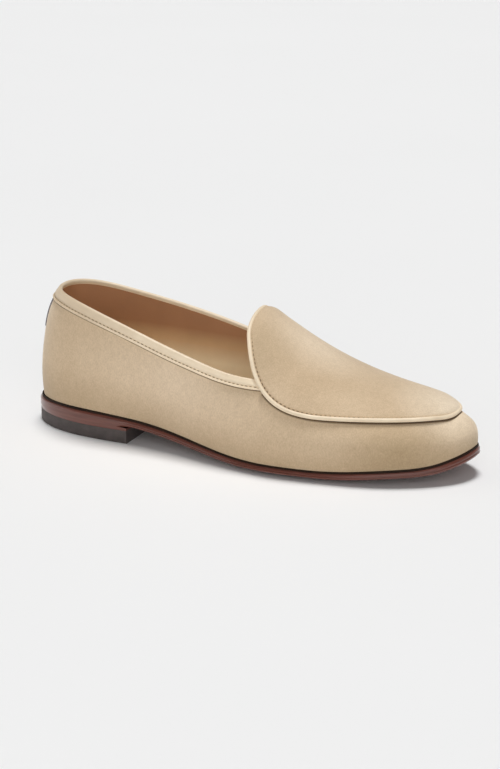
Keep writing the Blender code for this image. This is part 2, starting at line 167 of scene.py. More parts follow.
# Sections of the last: rise from the welt to the widest line, swell there, then the ridge and the roundness
SECTIONS = [
    ("share", "rise", "swell", "ridge_height", "ridge_side", "power"),
    (0.000, 0.018, 0.0015, 0.1650, 0.0040, 2.3),
    (0.120, 0.018, 0.0020, 0.1565, 0.0030, 2.3),
    (0.250, 0.018, 0.0025, 0.1420, 0.0025, 2.3),
    (0.380, 0.017, 0.0025, 0.1180, 0.0030, 2.2),
    (0.460, 0.016, 0.0022, 0.1000, 0.0040, 2.1),
    (0.540, 0.015, 0.0020, 0.0864, 0.0050, 2.1),
    (0.620, 0.014, 0.0018, 0.0718, 0.0060, 2.1),
    (0.700, 0.013, 0.0015, 0.0598, 0.0068, 2.1),
    (0.780, 0.012, 0.0013, 0.0520, 0.0075, 2.1),
    (0.860, 0.011, 0.0012, 0.0476, 0.0080, 2.1),
    (0.930, 0.010, 0.0010, 0.0433, 0.0080, 2.1),
    (0.965, 0.009, 0.0008, 0.0394, 0.0080, 2.1),
    (1.000, 0.008, 0.0005, 0.0350, 0.0080, 2.1),
]

# Height of the upper's edge at the collar
COLLAR = [
    ("share", "lateral", "medial"),
    (0.00, 0.0880, 0.0880),
    (0.06, 0.0870, 0.0855),
    (0.14, 0.0835, 0.0820),
    (0.24, 0.0760, 0.0780),
    (0.34, 0.0675, 0.0740),
    (0.42, 0.0618, 0.0700),
    (0.48, 0.0582, 0.0657),
    (0.53, 0.0565, 0.0618),
    (0.62, 0.0560, 0.0570),
]

# Curve of the heel's back: how far it leans forward at each height
BACK_CURVE = [
    ("height", "forward"),
    (0.010, 0.0015),
    (0.024, 0.0003),
    (0.040, 0.0004),
    (0.060, 0.0031),
    (0.075, 0.0069),
    (0.082, 0.0102),
    (0.088, 0.0136),
    (0.120, 0.0230),
    (0.170, 0.0330),
]

# Curve of the toe: how far it leans back at each height above the foot of the upper
TOE_CURVE = [
    ("height", "back"),
    (0.0000, 0.0000),
    (0.0040, 0.0000),
    (0.0090, 0.0008),
    (0.0140, 0.0035),
    (0.0180, 0.0072),
    (0.0230, 0.0130),
    (0.0280, 0.0200),
]

# Reach of the apron down from the ridge, from the end of its tongue to its tip
APRON_EDGE = [
    ("along", "reach"),
    (0.00, 0.000),
    (0.05, 0.250),
    (0.10, 0.365),
    (0.20, 0.560),
    (0.30, 0.677),
    (0.38, 0.690),
    (0.50, 0.628),
    (0.60, 0.567),
    (0.72, 0.488),
    (0.81, 0.397),
    (0.87, 0.325),
    (0.955, 0.145),
    (1.00, 0.000),
]

# Rounded edge of the outsole, with a fine groove, from its undercut foot up
SOLE_EDGE = [
    ("height", "inset"),
    (0.0000, 0.0050),
    (0.0005, 0.0030),
    (0.0010, 0.0014),
    (0.0014, 0.0005),
    (0.0018, 0.0001),
    (0.0025, 0.0000),
    (0.0028, 0.0003),
    (0.0031, 0.0004),
    (0.0034, 0.0003),
    (0.0037, 0.0001),
    (0.0044, 0.0003),
    (0.0050, 0.0010),
]

# Section of the binding's outer leg, from its bead at the bottom, over the stitched groove, to the fold
BINDING_PROFILE = [
    ("depth", "lift"),
    (0.0056, -0.0002),
    (0.0059, 0.0004),
    (0.0058, 0.0010),
    (0.0053, 0.0014),
    (0.0047, 0.0013),
    (0.0043, 0.0008),
    (0.0041, 0.0004),
    (0.0038, 0.0006),
    (0.0032, 0.0009),
    (0.0022, 0.0010),
    (0.0012, 0.0008),
    (0.0004, 0.0006),
]

# Section of the binding's inner leg, from the fold down, with its lift off the lining
INNER_LEG = [
    ("depth", "lift"),
    (0.0004, -0.0005),
    (0.0009, -0.0004),
    (0.0010, 0.0003),
]

# Edge of the heel's rubber from the floor up
RUBBER_EDGE = [
    ("inset", "height"),
    (0.0009, 0.0),
    (0.0005, 0.0002),
    (0.0003, HEEL_BEVEL),
    (0.0002, HEEL_RUBBER - HEEL_BEVEL),
    (0.0004, HEEL_RUBBER),
]

# Strips of painted shade beside the piping, and under the binding, from the seam out
PIPING_SHADE = [
    ("margin", "lift"),
    (0.0022, 0.0003),
    (0.0028, 0.0003),
    (0.0034, 0.0002),
    (0.0042, 0.0000),
]
BINDING_SHADE = [
    ("depth", "lift"),
    (0.0054, 0.0002),
    (0.0060, 0.0002),
    (0.0068, 0.0001),
]

# Soft hollows and swellings of the suede: where, how long and tall, and how far in or out
SOFT_FORMS = [
    ("share", "height", "side", "long", "tall", "lift"),
    (0.135, 0.050, LATERAL, 0.014, 0.016, -0.0007),
    (0.230, 0.040, LATERAL, 0.016, 0.026, 0.0006),
    (0.330, 0.034, LATERAL, 0.020, 0.018, -0.0008),
    (0.455, 0.034, LATERAL, 0.018, 0.014, 0.0006),
    (0.560, 0.036, LATERAL, 0.012, 0.012, -0.0005),
    (0.680, 0.022, LATERAL, 0.022, 0.010, 0.0005),
    (0.150, 0.055, MEDIAL, 0.016, 0.020, -0.0006),
    (0.300, 0.045, MEDIAL, 0.024, 0.022, -0.0008),
    (0.470, 0.036, MEDIAL, 0.020, 0.016, 0.0006),
    (0.640, 0.026, MEDIAL, 0.022, 0.012, -0.0005),
]

# Patches of painted light and shade on the suede, paler on the quarter and on the apron's top and toe,
# darker on the tongue's outer side and low on the vamp: centre and reach over the origin, and tone
LIGHT_AND_SHADE_PATCHES = [
    ("center", "reach", "tone"),
    ((-0.035, -0.040, 0.048), (0.080, 0.080, 0.045), (0.90, 0.72, 0.52)),
    ((0.125, 0.004, 0.040), (0.035, 0.035, 0.025), (0.96, 0.82, 0.635)),
    ((0.045, 0.004, 0.074), (0.045, 0.030, 0.035), (0.90, 0.74, 0.55)),
    ((0.012, -0.022, 0.062), (0.030, 0.030, 0.030), (0.54, 0.405, 0.25)),
    ((0.112, -0.034, 0.022), (0.040, 0.030, 0.025), (0.57, 0.42, 0.25)),
]

# Painted shade on the trim round the heel, where it faces away from the light: centre and reach over the
# origin, and tone
TRIM_SHADE_PATCH = ((-0.130, -0.020, 0.078), (0.075, 0.060, 0.060), (0.60, 0.465, 0.31))

# Tones of each material, with the value of its noise, height or grid at each
WHITE = (1.0, 1.0, 1.0)
SUEDE_TONES = [(0.30, (0.675, 0.508, 0.330)), (0.70, (0.765, 0.593, 0.402))]
# Painted shade: the suede darkens towards its foot, under the widest line, where less light reaches
FOOT_SHADE_TONES = [(0.10, (0.80, 0.78, 0.74)), (0.36, WHITE)]
BLOTCH_TONES = [(0.28, (0.93, 0.92, 0.905)), (0.72, WHITE)]
FIBRE_TONES = [(0.30, (0.84, 0.82, 0.80)), (0.70, WHITE)]
# Painted shade beside the piping and under the binding, dark at the seam and fading into the suede
SEAM_SHADE_TONES = [(0.0, (0.10, 0.065, 0.038)), (0.62, (0.16, 0.105, 0.06)), (1.0, (0.66, 0.50, 0.33))]
TRIM_TONES = [(0.3, (0.84, 0.685, 0.49)), (0.7, (0.91, 0.76, 0.56))]
LINING_TONES = [(0.25, (1.0, 0.86, 0.64)), (0.55, (0.74, 0.50, 0.285)), (0.82, (0.47, 0.235, 0.12))]
DYE_TONES = [(0.3, (0.86, 0.85, 0.84)), (0.7, WHITE)]
SOLE_TONES = [(0.3, (0.115, 0.034, 0.022)), (0.7, (0.175, 0.054, 0.036))]
WELT_TONES = [(0.3, (0.016, 0.007, 0.003)), (0.7, (0.030, 0.013, 0.006))]
RUBBER_TONES = [(0.3, (0.055, 0.043, 0.040)), (0.7, (0.085, 0.068, 0.063))]
TAPE_TONES = [(0.2, (0.12, 0.105, 0.11)), (0.8, (0.20, 0.18, 0.185))]
COLLAR_THREAD_TONES = [(0.3, (0.32, 0.23, 0.14)), (0.7, (0.44, 0.325, 0.205))]
APRON_THREAD_TONES = [(0.3, (0.22, 0.155, 0.09)), (0.7, (0.33, 0.24, 0.15))]
FLOOR_TONES = [(0.3, (0.885, 0.885, 0.885)), (0.7, (0.895, 0.895, 0.895))]

# Heights over the floor between which the lining's tones change
LINING_LOW = 0.032
LINING_HIGH = 0.068

# Fibres of the nap
FIBRE_SIZE = 0.0007
FIBRE_DEPTH = 0.00012

# Fineness of the meshes
TURNS = 150  # columns along each side
HEEL_TURNS = 75
UPPER_ROWS = 44
UPPER_LOW_ROWS = 11  # of them under the widest line
LINING_ROWS = 26
ACROSS = 16
APRON_ALONG = 130
APRON_ACROSS = 110
BORDER_SAMPLES = 900
PIPING_SIDES = 14
BINDING_COLUMNS = 260
ROLL_STEPS = 10
TAB_COLUMNS = 16
TAB_ROWS = 24
STITCH_SIDES = 6
STITCH_RINGS = 5
MERGE = 1e-6  # points closer than this become one
SHARP = 0.7  # radians between faces at which an edge stays sharp
EDGE_STEP = 1e-5  # of a turn, for the direction of the sole's edge
SLOPE_STEP = 1e-4  # of a turn or a climb, or in metres, for the directions of the last

# Sky: its strength near the horizon and higher up, by the height of the direction
SKY = {"From Min": 0.08, "From Max": 0.24, "To Min": 0.86, "To Max": 0.14}

# Soft suns: from above, from the front and from the heel's side
LIGHTS = [
    ("name", "strength", "angle", "aim"),
    ("key", 2.26, 0.34, (0.03, -0.11, -1.0)),
    ("fill", 0.71, 0.9, (-0.37, 0.86, -0.40)),
    ("side", 0.42, 0.9, (1.0, 0.25, -0.12)),
]
FLOOR = 8.0  # half its width

# Camera at the photograph's place, with its roll, on a longer lens that frames the one shoe
CAMERA_PLACE = (0.516, -1.199, 0.466)
CAMERA_TARGET = (0.0, 0.0, 0.040)
CAMERA_ROLL = np.radians(0.45)
CAMERA_LENS = 104.0
SENSOR = 36.0


# Smooth curves through the tables


def smooth(xs, ys):
    """The natural cubic curve through the points, as a function of arrays."""
    count = len(xs)
    step = np.diff(xs)
    rise = np.diff(ys) / step
    matrix = np.eye(count)
    right = np.zeros(count)
    for i in range(1, count - 1):
        matrix[i, i - 1 : i + 2] = step[i - 1], 2 * (step[i - 1] + step[i]), step[i]
        right[i] = 6 * (rise[i] - rise[i - 1])
    bend = np.linalg.solve(matrix, right)

    def curve(at):
        at = np.asarray(at, float)
        i = np.clip(np.searchsorted(xs, at) - 1, 0, count - 2)
        past = at - xs[i]
        slope = rise[i] - step[i] * (2 * bend[i] + bend[i + 1]) / 6
        turning = bend[i] / 2 + past * (bend[i + 1] - bend[i]) / (6 * step[i])
        return ys[i] + past * (slope + past * turning)

    return curve


def turn_of(share):
    """Place along the shoe as a turn from 0 to 1, even round the rounded heel and toe."""
    return np.arccos(1 - 2 * np.asarray(share, float)) / np.pi


def share_at(turn):
    return (1 - np.cos(np.pi * np.asarray(turn, float))) / 2


def curves(table, over=np.asarray):
    """One smooth curve for each named column of a table, over its first column."""
    rows = np.array(table[1:], float)
    return {name: smooth(over(rows[:, 0]), rows[:, i]) for i, name in enumerate(table[0]) if i}


outline = curves(OUTLINE, turn_of)
sections = curves(SECTIONS, turn_of)
collar = curves(COLLAR)
underside = curves(UNDERSIDE)["height"]
back_curve = curves(BACK_CURVE)["forward"]
toe_curve = curves(TOE_CURVE)["back"]
apron_reach = curves(APRON_EDGE)["reach"]


# The sole's outline and the last


def unit(vectors):
    return vectors / np.linalg.norm(vectors, axis=-1, keepdims=True)


def rising(value, start, end):
    """A smooth step from 0 at the start to 1 at the end."""
    part = np.clip((value - start) / (end - start), 0, 1)
    return part * part * (3 - 2 * part)


def sole_height(turn):
    return np.maximum(underside(share_at(turn)), 0)


def sole_edge(turn, side, inset=0.0):
    """Points of the sole's outline in plan, moved in square to the edge."""

    def at(place):
        return np.stack([LENGTH * share_at(place), side * outline[SIDE_NAMES[side]](place)], -1)

    ahead = np.minimum(np.asarray(turn) + EDGE_STEP, 1)
    behind = np.maximum(np.asarray(turn) - EDGE_STEP, 0)
    along = unit(at(ahead) - at(behind))
    outward = np.stack([-along[..., 1], along[..., 0]], -1) * side
    return at(turn) - outward * np.asarray(inset)[..., None]


def past_heel(turn):
    """0 where the sole's edge is flush with the heel under it, and 1 ahead of the heel."""
    return rising(share_at(turn), HEEL_FLUSH_START, HEEL_FLUSH_END)


def rim_lift(turn):
    """How far the sole's rim stands above its bulging underside, less where it is clear of the floor."""
    clear = sole_height(turn)
    return past_heel(turn) * (np.hypot(clear, SOLE_LIFT) - clear)


def tip_drop(turn):
    """How far the underside hangs lower at the toe, where the sole is thicker."""
    return SOLE_TIP * rising(share_at(turn), SOLE_TIP_START, 1)


def rim_height(turn, height):
    """Height of a line on the sole's edge or above it, from the line's height over a flat underside."""
    up = min(height / SOLE, 1)
    raised = (1 - (1 - SOLE_LIFT_TOP) * up) * rim_lift(turn)
    return sole_height(turn) + height + raised - (1 - up) * tip_drop(turn)


def edge_ring_points(turn, side, inset, height):
    plan = sole_edge(turn, side, inset)
    return np.concatenate([plan, np.broadcast_to(height, plan.shape[:-1])[..., None]], -1)


def feather_height(turn):
    """Height of the upper's foot, above the sole and the welt."""
    return sole_height(turn) + SOLE + WELT + 2 * GAP


def last_point(turn, climb, side):
    """Points of the upper's outer face: climb is -1 at its foot, 0 at its widest and 1 on the ridge."""
    turn, climb = np.broadcast_arrays(np.asarray(turn, float), np.asarray(climb, float))
    section = {name: curve(turn) for name, curve in sections.items()}
    foot = sole_edge(turn, side, UPPER_INSET)
    middle = (foot[..., 0] + sole_edge(turn, -side, UPPER_INSET)[..., 0]) / 2
    foot_height = feather_height(turn)
    wide = foot[..., 1] + side * section["swell"] * np.sqrt(np.abs(np.sin(np.pi * turn)))
    wide_height = foot_height + section["rise"]
    low = np.clip(climb + 1, 0, 1)
    angle = np.clip(climb, 0, 1) * np.pi / 2
    inward = np.abs(np.cos(angle)) ** (2 / section["power"])
    upward = np.abs(np.sin(angle)) ** (2 / section["power"])
    below = climb <= 0
    y_low = foot[..., 1] + (wide - foot[..., 1]) * np.sin(low * np.pi / 2)
    y_high = section["ridge_side"] + (wide - section["ridge_side"]) * inward
    z_low = foot_height + section["rise"] * low
    z_high = wide_height + (section["ridge_height"] - wide_height) * upward
    z = np.where(below, z_low, z_high)
    heel_part = np.clip(1 - share_at(turn) / BACK_LEAN_END, 0, 1) ** 2
    toe_part = np.clip((share_at(turn) - TOE_LEAN_START) / (1 - TOE_LEAN_START), 0, 1) ** 2
    x = middle + (foot[..., 0] - middle) * np.where(below, 1, inward)
    x = x + back_curve(z) * heel_part - toe_curve(z - foot_height) * toe_part
    return np.stack([x, np.where(below, y_low, y_high), z], -1)


def last_normal(turn, climb, side):
    """Outward directions of the upper's outer face."""
    turn, climb = np.broadcast_arrays(np.asarray(turn, float), np.asarray(climb, float))
    ahead = last_point(np.minimum(turn + SLOPE_STEP, 1), climb, side)
    behind = last_point(np.maximum(turn - SLOPE_STEP, 0), climb, side)
    above = last_point(turn, np.minimum(climb + SLOPE_STEP, 1), side)
    below = last_point(turn, np.maximum(climb - SLOPE_STEP, -1), side)
    return -side * unit(np.cross(ahead - behind, above - below))


def lifted(turn, climb, side, lift):
    """Points of the last moved out of it, or in where the lift is below zero."""
    return last_point(turn, climb, side) + np.asarray(lift)[..., None] * last_normal(turn, climb, side)


def climb_at(turn, height):
    """The climb at which a section of the last reaches a height above its widest line."""
    wide_height = feather_height(turn) + sections["rise"](turn)
    part = (height - wide_height) / (sections["ridge_height"](turn) - wide_height)
    return np.arcsin(np.clip(part, 0, 1) ** (sections["power"](turn) / 2)) * 2 / np.pi


def collar_climb(turn, side, depth=0.0):
    return climb_at(turn, collar[SIDE_NAMES[side]](share_at(turn)) - depth)


def top_climb(turn, side, depth=0.0):
    """The upper's top edge, or a line under it: the collar, then the throat rising under the apron."""
    start = collar_climb(turn, side, depth)
    return start + (1 - start) * rising(share_at(turn), THROAT_START, THROAT_END)


# Meshes from grids of points


def ring(turns, point):
    """A row of a grid round the shoe: forward on the outer side, then back on the inner side."""
    return np.concatenate([point(turns, LATERAL), point(turns[-2:0:-1], MEDIAL)])[None]


def surface(name, grids, wrap=False):
    """A smooth mesh through grids of points that face the way their columns turn into their rows."""
    points = []
    quads = []
    across = []
    for grid in grids:
        rows, columns = grid.shape[:2]
        index = np.arange(rows * columns).reshape(rows, columns) + sum(len(part) for part in points)
        if wrap:
            index = np.concatenate([index, index[:, :1]], 1)
        corners = [index[:-1, :-1], index[:-1, 1:], index[1:, 1:], index[1:, :-1]]
        quads.append(np.stack(corners, -1).reshape(-1, 4))
        points.append(grid.reshape(-1, 3))
        u, v = np.meshgrid(np.linspace(0, 1, index.shape[1]), np.linspace(0, 1, rows))
        flat = np.stack([u, v], -1)
        spots = [flat[:-1, :-1], flat[:-1, 1:], flat[1:, 1:], flat[1:, :-1]]
        across.append(np.stack(spots, -2).reshape(-1))
    mesh = bpy.data.meshes.new(name)
    places = np.concatenate(points) - (LENGTH / 2, 0, 0)
    mesh.from_pydata(places.tolist(), [], np.concatenate(quads).tolist())
    mesh.uv_layers.new(name="grid").data.foreach_set("uv", np.concatenate(across))
    joined = bmesh.new()
    joined.from_mesh(mesh)
    bmesh.ops.remove_doubles(joined, verts=joined.verts, dist=MERGE)
    joined.to_mesh(mesh)
    joined.free()
    mesh.shade_smooth()
    mesh.set_sharp_from_angle(angle=SHARP)
    return mesh


def strips(turns, inset, height, down=False):
    """A grid of points that fills the sole's outline, from side to side."""
    sides = [edge_ring_points(turns, side, inset, height(turns)) for side in (LATERAL, MEDIAL)]
    if down:
        sides.reverse()
    parts = np.linspace(0, 1, ACROSS + 1)[:, None, None]
    return sides[0] + (sides[1] - sides[0]) * parts


def piece(name, mesh, material, slot, *nodes):
    """An object of the shoe that rides on its one body, in place of CAD nodes where it stands for them."""
    mesh.materials.append(material)
    thing = bpy.data.objects.new(name, mesh)
    bpy.context.scene.collection.objects.link(thing)
    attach(thing, "root")
    if nodes:
        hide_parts(*nodes)


# Materials


class Paint:
    """A material under construction: a principled shader fed by noise on the object's own coordinates."""

    def __init__(self, name, roughness, **sockets):
        self.material = bpy.data.materials.new(name)
        self.material.use_nodes = True
        self.tree = self.material.node_tree
        self.shader = self.tree.nodes["Principled BSDF"]
        self.place = self.node("ShaderNodeTexCoord").outputs["Object"]
        self.shader.inputs["Roughness"].default_value = roughness
        for socket, value in sockets.items():
            self.shader.inputs[socket.replace("_", " ")].default_value = value

    def node(self, kind, **inputs):
        made = self.tree.nodes.new(kind)
        for socket, value in inputs.items():
            self.feed(made.inputs[socket.replace("_", " ")], value)
        return made

    def feed(self, socket, value):
        if isinstance(value, bpy.types.NodeSocket):
            self.tree.links.new(value, socket)
        else:
            socket.default_value = value

    def stretched(self, scale):
        mapping = self.node("ShaderNodeMapping", Vector=self.place)
        mapping.inputs["Scale"].default_value = scale
        return mapping.outputs["Vector"]

    def noise(self, size, detail=2.0, rough=0.5, stretch=(1, 1, 1)):
        """Noise from 0 to 1 whose blotches are about the size across, in metres."""
        place = self.stretched(stretch)
        made = self.node("ShaderNodeTexNoise", Vector=place, Detail=detail, Roughness=rough)
        made.inputs["Scale"].default_value = 1 / size
        return made.outputs["Fac"]

    def height(self, low, high):
        """A value that rises from 0 to 1 between two heights of the object."""
        parts = self.node("ShaderNodeSeparateXYZ", Vector=self.place)
        made = self.node("ShaderNodeMapRange", Value=parts.outputs["Z"], From_Min=low, From_Max=high)
        return made.outputs["Result"]

    def spot(self, center, reach):
        """A value that fades from 1 at a place on the object to 0 at its reach along each axis."""
        mapping = self.node("ShaderNodeMapping", Vector=self.place, Location=center, Scale=reach)
        mapping.vector_type = "TEXTURE"
        made = self.node("ShaderNodeTexGradient", Vector=mapping.outputs["Vector"])
        made.gradient_type = "SPHERICAL"
        return made.outputs["Fac"]

    def across(self):
        """A value that rises from 0 to 1 from the first row of a grid to its last."""
        spot = self.node("ShaderNodeTexCoord").outputs["UV"]
        return self.node("ShaderNodeSeparateXYZ", Vector=spot).outputs["Y"]

    def ramp(self, value, *stops):
        """A colour for each value, blended between the stops."""
        made = self.node("ShaderNodeValToRGB", Fac=value)
        band = made.color_ramp.elements
        while len(band) < len(stops):
            band.new(0.5)
        for stop, (position, color) in zip(band, stops):
            stop.position = position
            stop.color = (*color, 1)
        return made.outputs["Color"]

    def mixed(self, factor, first, second, blend="MIX"):
        made = self.tree.nodes.new("ShaderNodeMix")
        made.data_type = "RGBA"
        made.blend_type = blend
        self.feed(made.inputs[0], factor)
        self.feed(made.inputs[6], first)
        self.feed(made.inputs[7], second)
        return made.outputs[2]

    def color(self, value):
        self.feed(self.shader.inputs["Base Color"], value)

    def bump(self, *layers):
        """Stacked bumps, each a height from 0 to 1 with its depth in metres."""
        normal = None
        for height, depth in layers:
            made = self.node("ShaderNodeBump", Height=height, Distance=depth)
            made.inputs["Strength"].default_value = 1.0
            if normal:
                self.tree.links.new(normal, made.inputs["Normal"])
            normal = made.outputs["Normal"]
        self.tree.links.new(normal, self.shader.inputs["Normal"])


def fibres(paint, stretch=(1, 1, 1)):
    """Noise of the nap's fibres, with the tones that they give."""
    noise = paint.noise(FIBRE_SIZE, detail=2.0, rough=0.6, stretch=stretch)
    return noise, paint.ramp(noise, *FIBRE_TONES)


def suede(name, foot=False):
    """Sand-beige suede: patches of painted light and shade, fine fibres, a pale sheen and, where asked,
    painted shade at its foot.
    """
    paint = Paint(name, 0.95, Sheen_Weight=0.4, Sheen_Roughness=0.45, Sheen_Tint=(1, 0.94, 0.84, 1))
    base = paint.ramp(paint.noise(0.045, detail=3.0), *SUEDE_TONES)
    # painted light and shade in patches
    for center, reach, tone in LIGHT_AND_SHADE_PATCHES[1:]:
        base = paint.mixed(paint.spot(center, reach), base, (*tone, 1))
    # painted shade, darker towards the foot of the wall
    if foot:
        base = paint.mixed(1.0, base, paint.ramp(paint.across(), *FOOT_SHADE_TONES), "MULTIPLY")
    blotches = paint.ramp(paint.noise(0.0035, detail=3.0), *BLOTCH_TONES)
    nap, grain = fibres(paint, stretch=(1, 1, 0.6))
    paint.color(paint.mixed(1.0, paint.mixed(1.0, base, blotches, "MULTIPLY"), grain, "MULTIPLY"))
    paint.bump((paint.noise(0.003), FIBRE_DEPTH), (nap, FIBRE_DEPTH))
    return paint.material


def painted_seam_shade():
    """Painted shade: suede darkened where it dips under the piping or the binding, darkest at the seam."""
    paint = Paint("painted_seam_shade", 0.95)
    nap, grain = fibres(paint)
    paint.color(paint.mixed(1.0, paint.ramp(paint.across(), *SEAM_SHADE_TONES), grain, "MULTIPLY"))
    paint.bump((nap, FIBRE_DEPTH))
    return paint.material


def trim_leather():
    """Smooth cream leather with a soft sheen and a fine grain, with painted shade round the heel."""
    paint = Paint("trim_leather", 0.45, Coat_Weight=0.08, Coat_Roughness=0.35)
    base = paint.ramp(paint.noise(0.008), *TRIM_TONES)
    # painted shade round the heel
    center, reach, shade_tone = TRIM_SHADE_PATCH
    paint.color(paint.mixed(paint.spot(center, reach), base, (*shade_tone, 1)))
    paint.bump((paint.noise(0.0006), 0.00004))
    return paint.material


def lining_leather():
    """Brown lining leather, nearly matt, paler low down, with a pressed grain and uneven dye."""
    paint = Paint("lining_leather", 0.6, Coat_Weight=0.04, Coat_Roughness=0.5)
    base = paint.ramp(paint.height(LINING_LOW, LINING_HIGH), *LINING_TONES)
    dye = paint.ramp(paint.noise(0.030, detail=3.0), *DYE_TONES)
    paint.color(paint.mixed(1.0, base, dye, "MULTIPLY"))
    paint.bump((paint.noise(0.0012, detail=3.0), 0.00008))
    return paint.material


def sole_leather():
    """Red-brown leather with a burnished, streaked edge."""
    paint = Paint("sole_leather", 0.35, Specular_IOR_Level=0.2, Coat_Weight=0.9, Coat_Roughness=0.22)
    streaks = paint.noise(0.006, detail=3.0, rough=0.6, stretch=(0.25, 0.25, 4.0))
    paint.color(paint.ramp(streaks, *SOLE_TONES))
    paint.bump((streaks, 0.00003))
    return paint.material


def welt_leather():
    """Near-black waxed leather."""
    paint = Paint("welt_leather", 0.6, Specular_IOR_Level=0.2)
    paint.color(paint.ramp(paint.noise(0.004), *WELT_TONES))
    paint.bump((paint.noise(0.0008), 0.00005))
    return paint.material


def heel_rubber():
    """Matt charcoal rubber with a fine moulded grain and an uneven tone."""
    paint = Paint("heel_rubber", 0.62)
    paint.color(paint.ramp(paint.noise(0.005, detail=4.0), *RUBBER_TONES))
    paint.bump((paint.noise(0.0005), 0.00005))
    return paint.material


def dark_tape():
    """Dark woven tape with ribs across it."""
    paint = Paint("dark_tape", 0.85)
    ribs = paint.node("ShaderNodeTexWave", Vector=paint.place, Scale=TAPE_RIBS, Distortion=0.3)
    ribs.bands_direction = "Z"
    paint.color(paint.ramp(ribs.outputs["Fac"], *TAPE_TONES))
    paint.bump((ribs.outputs["Fac"], 0.00012))
    return paint.material


def plain(name, roughness, size, tones):
    """A matt material with blotches of a size, such as the threads and the floor."""
    paint = Paint(name, roughness)
    paint.color(paint.ramp(paint.noise(size), *tones))
    return paint.material


# The pieces of the sole


def outsole(leather):
    """The sole with its rounded edge, whose insets fade out where the heel carries on flush under it."""
    turns = np.linspace(0, 1, TURNS + 1)

    def edge(height, inset):
        below_top = height < SOLE_TOP_ROUND

        def at(t, side):
            shown = inset * past_heel(t) if below_top else inset
            return edge_ring_points(t, side, shown, rim_height(t, height))

        return ring(turns, at)

    heights = np.array(SOLE_EDGE[1:])
    wall = np.concatenate([edge(height, inset) for height, inset in heights])
    mesh = surface("outsole", [wall], wrap=True)
    bottom = strips(turns, heights[0, 1] * past_heel(turns), sole_height, down=True)
    across = np.abs(np.linspace(-1, 1, ACROSS + 1))[:, None]
    bottom[..., 2] += rim_lift(turns) * across**SOLE_BULGE - tip_drop(turns)
    top = strips(turns, heights[-1, 1], lambda t: rim_height(t, SOLE))
    piece("outsole", mesh, leather, "sole_leather", "outsole")
    piece("outsole_faces", surface("outsole_faces", [bottom, top]), leather, "sole_leather", "outsole")


def welt(leather):
    """The thin dark strip between sole and upper, with a rounded outer edge."""
    turns = np.linspace(0, 1, TURNS + 1)
    inner = WELT_INSET + WELT_WIDTH
    low = SOLE
    high = SOLE + WELT + GAP
    middle = (low + high) / 2
    corners = [
        (inner, low),
        (WELT_EDGE, low),
        (WELT_BEAD, middle),
        (WELT_EDGE, high),
        (inner, high),
    ]
    rows = [
        ring(turns, lambda t, side: edge_ring_points(t, side, inset, rim_height(t, height)))
        for inset, height in corners
    ]
    piece("welt", surface("welt", [np.concatenate(rows)], wrap=True), leather, "welt_leather", "welt")


def heel(leather, rubber):
    """The heel's leather layer and its rubber layer, each with a face underneath."""
    turns = np.linspace(0, turn_of(HEEL_LENGTH / LENGTH), HEEL_TURNS)

    def loop(inset, height):
        outer = edge_ring_points(turns, LATERAL, inset, height(turns))
        inner = edge_ring_points(turns[::-1], MEDIAL, inset, height(turns[::-1]))
        return np.concatenate([outer, inner])[None]

    sides = np.concatenate([loop(HEEL_INSET, lambda t: HEEL_RUBBER), loop(0.0, sole_height)])
    lift = surface("heel_lift", [sides], wrap=True)
    piece("heel_lift", lift, leather, "sole_leather", "heel_lift")
    wall = np.concatenate([loop(inset, lambda t: height) for inset, height in RUBBER_EDGE[1:]])
    top = surface("heel_top_piece", [wall], wrap=True)
    piece("heel_top_piece", top, rubber, "heel_rubber", "heel_top_piece")
    bottom = strips(turns, RUBBER_EDGE[1][0], lambda t: 0.0, down=True)
    piece("heel_base", surface("heel_base", [bottom]), rubber, "heel_rubber", "heel_top_piece")
    base = strips(turns, HEEL_INSET, lambda t: HEEL_RUBBER, down=True)
    piece("heel_stack_base", surface("heel_stack_base", [base]), leather, "sole_leather", "heel_lift")


def insole(leather):
    """The sock lining, hollowed along its middle and turned up a little where it meets the wall."""
    turns = np.linspace(INSOLE_START, INSOLE_END, TURNS)
    grid = strips(turns, INSOLE_INSET, lambda t: feather_height(t) + INSOLE_RISE)
    parts = np.linspace(-1, 1, ACROSS + 1)[:, None]
    grid[..., 2] -= INSOLE_DISH * (1 - parts**2)
    piece("insole", surface("insole", [grid]), leather, "sock_leather", "insole")


# The upper, its lining and its trim


def soft_lift(points, side):
    """How far the suede stands in or out of the last at points, from the table of soft forms."""
    rows = [dict(zip(SOFT_FORMS[0], row)) for row in SOFT_FORMS[1:]]
    lift = np.zeros(points.shape[:-1])
    for row in rows:
        if row["side"] == side:
            along = (points[..., 0] - row["share"] * LENGTH) / row["long"]
            up = (points[..., 2] - row["height"]) / row["tall"]
            lift += row["lift"] * np.exp(-(along**2) - up**2)
    return lift


def upper_suede(nap):
    """The outer face of the wall, from under its foot to the collar and the throat."""
    turns = np.linspace(0, 1, TURNS + 1)

    def tucked(t, side):
        return edge_ring_points(t, side, UPPER_INSET + FOOT_TUCK, feather_height(t) - 2 * GAP)

    def shell(part):
        def at(t, side):
            climb = part * top_climb(t, side) if part > 0 else np.full(len(t), part)
            points = last_point(t, climb, side)
            return lifted(t, climb, side, soft_lift(points, side))

        return at

    low = np.linspace(-1, 0, UPPER_LOW_ROWS, endpoint=False)
    high = np.linspace(0, 1, UPPER_ROWS - UPPER_LOW_ROWS)
    rows = [ring(turns, tucked)]
    rows += [ring(turns, shell(part)) for part in np.concatenate([low, high])]
    mesh = surface("upper_suede", [np.concatenate(rows)], wrap=True)
    piece("upper_suede", mesh, nap, "suede", "upper")


